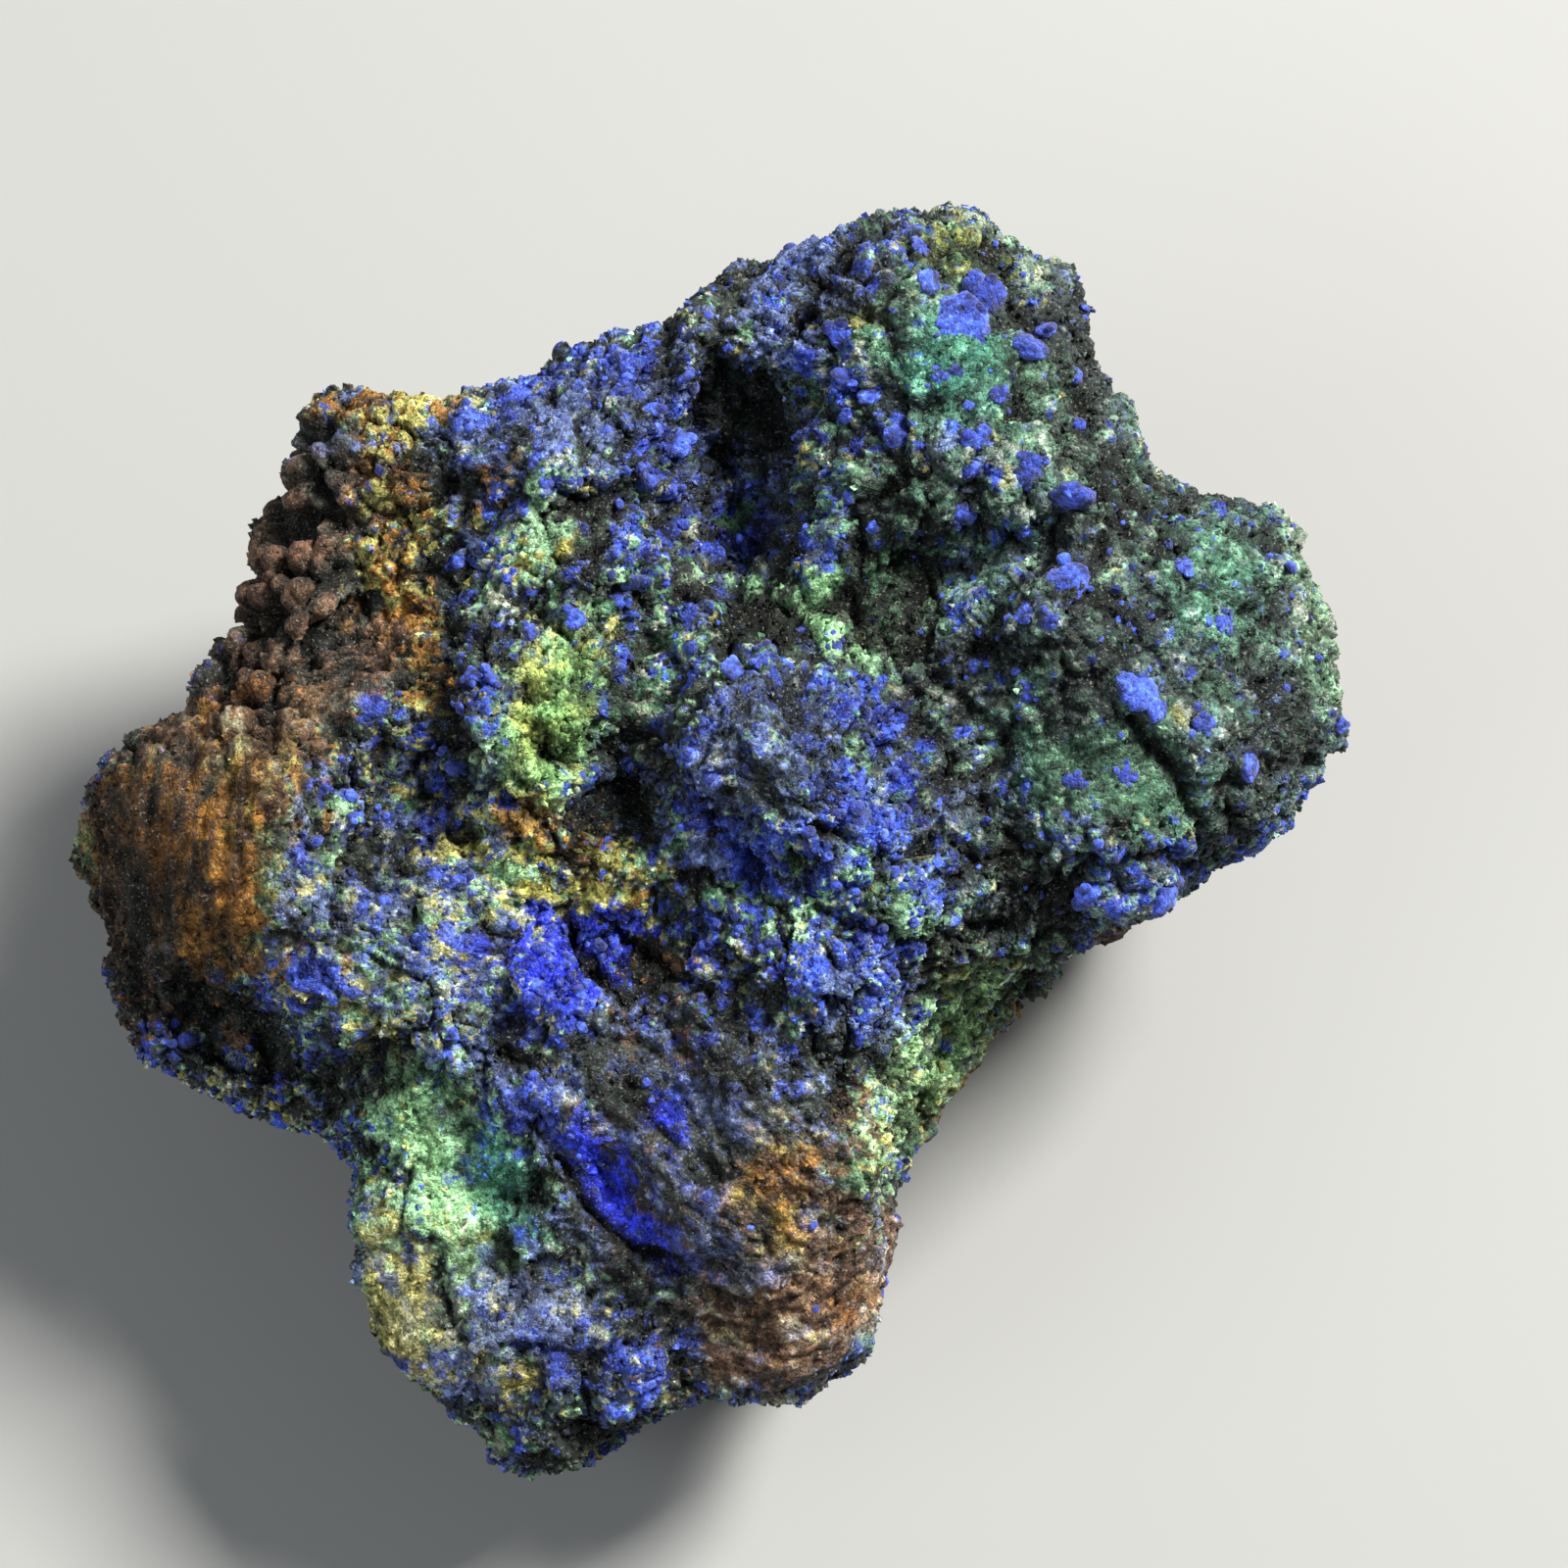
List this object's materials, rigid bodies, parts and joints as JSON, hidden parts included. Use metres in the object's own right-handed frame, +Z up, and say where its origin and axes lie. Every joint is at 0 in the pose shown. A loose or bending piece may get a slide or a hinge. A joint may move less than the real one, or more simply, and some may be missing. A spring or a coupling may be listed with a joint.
{
  "type": "azurite and malachite specimen",
  "caption": "Knobbly hand specimen of deep blue azurite and green malachite on brown iron-stained rock, lying on its flat broken back.",
  "frame": {"origin": "middle of the specimen's plan, on the surface that it lies on", "axes": "+Z up, out of the resting face; -Y towards the viewer, the way the blue and green face leans; +X to the viewer's right, along the longest side"},
  "size_m": [0.0656, 0.0632, 0.0342],
  "materials": {
    "copper_ore": "rough, granular crust",
    "azurite": "velvety blue nodules",
    "malachite": "dull green grains",
    "limonite": "earthy brown crust"
  },
  "bodies": {
    "root": {"specimen": "copper_ore"}
  },
  "joints": []
}
